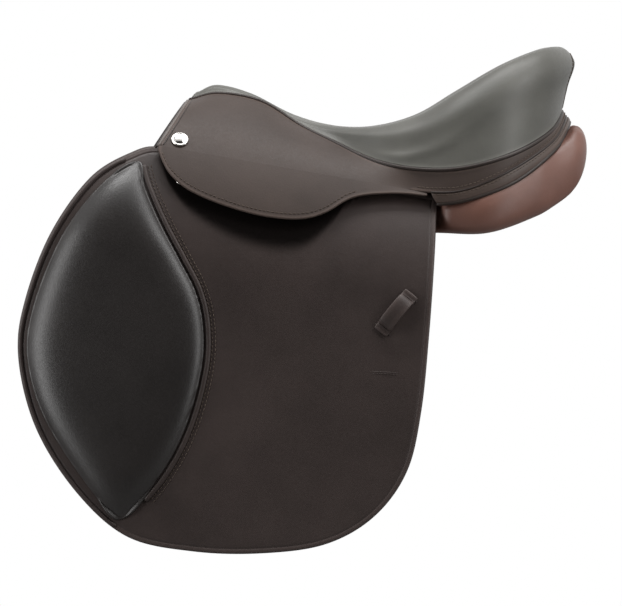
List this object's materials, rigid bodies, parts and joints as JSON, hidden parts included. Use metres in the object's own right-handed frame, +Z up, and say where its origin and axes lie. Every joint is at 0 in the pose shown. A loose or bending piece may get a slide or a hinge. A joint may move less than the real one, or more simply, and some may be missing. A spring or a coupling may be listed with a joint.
{
  "type": "jumping saddle",
  "caption": "Jumping saddle with a deep seat, forward flaps with padded knee pieces, stuffed panels, girth billets and stirrup bars.",
  "frame": {"origin": "On the middle plane, under the lowest point of the seat, at the level the panels bear on", "axes": "+X to the rear (cantle), -Y to the near (left) side, +Z up"},
  "size_m": [0.6245, 0.4016, 0.5529],
  "materials": {
    "leather_seat": "smooth, semi-gloss",
    "leather_flap": "smooth, semi-gloss",
    "leather_pad": "soft, semi-gloss",
    "leather_edge": "smooth dark edge",
    "leather_panel": "soft, semi-gloss",
    "foam": "matt foam",
    "web": "woven",
    "wood": "matt",
    "steel": "polished"
  },
  "bodies": {
    "saddle": {"tree_head": "wood", "tree_rail_left": "wood", "tree_rail_right": "wood", "tree_cantle": "wood", "head_plate": "steel", "gullet_plate": "steel", "tree_rivets": "steel", "tree_springs": "steel", "stirrup_bar_left": "steel", "stirrup_bar_right": "steel", "catch_pin_left": "steel", "catch_pin_right": "steel", "seat_web": "web", "girth_web_front": "web", "girth_web_rear": "web", "seat_foam": "foam", "seat_cover": "leather_seat", "seat_welt": "leather_edge", "skirt_left": "leather_flap", "skirt_right": "leather_flap", "skirt_nail_left": "steel", "skirt_nail_right": "steel", "pommel_facing": "leather_edge", "panel_left": "leather_panel", "panel_right": "leather_panel", "rear_facing": "leather_edge", "panel_welt": "leather_edge", "channel_lining": "leather_edge", "sweat_flap_left": "leather_flap", "sweat_flap_right": "leather_flap", "knee_block_left": "leather_pad", "knee_block_right": "leather_pad", "thigh_block_left": "leather_pad", "thigh_block_right": "leather_pad"},
    "near_flap": {"flap_left": "leather_flap", "knee_pad_left": "leather_pad", "knee_welt_left": "leather_edge", "keeper_left": "leather_flap", "dee_staple_left": "steel"},
    "near_skirt": {"skirt_lift_left": "leather_flap"},
    "near_dee": {"dee_ring_left": "steel"},
    "near_billet_front": {"billet_front_left": "leather_edge"},
    "near_billet_rear": {"billet_rear_left": "leather_edge"},
    "near_guard": {"girth_guard_left": "leather_edge"},
    "near_catch": {"bar_catch_left": "steel"},
    "off_flap": {"flap_right": "leather_flap", "knee_pad_right": "leather_pad", "knee_welt_right": "leather_edge", "keeper_right": "leather_flap", "dee_staple_right": "steel"},
    "off_skirt": {"skirt_lift_right": "leather_flap"},
    "off_dee": {"dee_ring_right": "steel"},
    "off_billet_front": {"billet_front_right": "leather_edge"},
    "off_billet_rear": {"billet_rear_right": "leather_edge"},
    "off_guard": {"girth_guard_right": "leather_edge"},
    "off_catch": {"bar_catch_right": "steel"}
  },
  "joints": [
    {"name": "near_flap_lift", "type": "hinge", "parent": "saddle", "child": "near_flap", "pos_m": [-0.225, -0.10174, 0.095], "axis": [-0.9775, 0.123, 0.1715], "range_deg": [0, 75]},
    {"name": "near_skirt_lift", "type": "hinge", "parent": "near_flap", "child": "near_skirt", "pos_m": [-0.225, -0.10174, 0.095], "axis": [-0.9775, 0.123, 0.1715], "range_deg": [0, 60]},
    {"name": "near_dee_swing", "type": "hinge", "parent": "near_flap", "child": "near_dee", "pos_m": [-0.198, -0.10661, 0.06526], "axis": [-0.0087, -0.8354, 0.5495], "range_deg": [-25, 25]},
    {"name": "near_billet_front_swing", "type": "hinge", "parent": "saddle", "child": "near_billet_front", "pos_m": [-0.058, -0.10852, 0.026], "axis": [-0.1016, -0.9865, 0.1282], "range_deg": [-2.5, 2.5]},
    {"name": "near_billet_rear_swing", "type": "hinge", "parent": "saddle", "child": "near_billet_rear", "pos_m": [-0.002, -0.10916, 0.026], "axis": [-0.1016, -0.9865, 0.1282], "range_deg": [-2.5, 2.5]},
    {"name": "near_guard_slide", "type": "slide", "parent": "saddle", "child": "near_guard", "axis": [-0.0131, -0.1276, -0.9917], "range_m": [0, 0.07]},
    {"name": "near_catch_turn", "type": "hinge", "parent": "saddle", "child": "near_catch", "pos_m": [-0.09, -0.08781, 0.078], "axis": [0, -1, 0], "range_deg": [0, 60]},
    {"name": "off_flap_lift", "type": "hinge", "parent": "saddle", "child": "off_flap", "pos_m": [-0.225, 0.10174, 0.095], "axis": [0.9775, 0.123, -0.1715], "range_deg": [0, 75]},
    {"name": "off_skirt_lift", "type": "hinge", "parent": "off_flap", "child": "off_skirt", "pos_m": [-0.225, 0.10174, 0.095], "axis": [0.9775, 0.123, -0.1715], "range_deg": [0, 60]},
    {"name": "off_dee_swing", "type": "hinge", "parent": "off_flap", "child": "off_dee", "pos_m": [-0.198, 0.10661, 0.06526], "axis": [0.0087, -0.8354, -0.5495], "range_deg": [-25, 25]},
    {"name": "off_billet_front_swing", "type": "hinge", "parent": "saddle", "child": "off_billet_front", "pos_m": [-0.058, 0.10852, 0.026], "axis": [0.1016, -0.9865, -0.1282], "range_deg": [-2.5, 2.5]},
    {"name": "off_billet_rear_swing", "type": "hinge", "parent": "saddle", "child": "off_billet_rear", "pos_m": [-0.002, 0.10916, 0.026], "axis": [0.1016, -0.9865, -0.1282], "range_deg": [-2.5, 2.5]},
    {"name": "off_guard_slide", "type": "slide", "parent": "saddle", "child": "off_guard", "axis": [-0.0131, 0.1276, -0.9917], "range_m": [0, 0.07]},
    {"name": "off_catch_turn", "type": "hinge", "parent": "saddle", "child": "off_catch", "pos_m": [-0.09, 0.08781, 0.078], "axis": [0, -1, 0], "range_deg": [0, 60]}
  ]
}
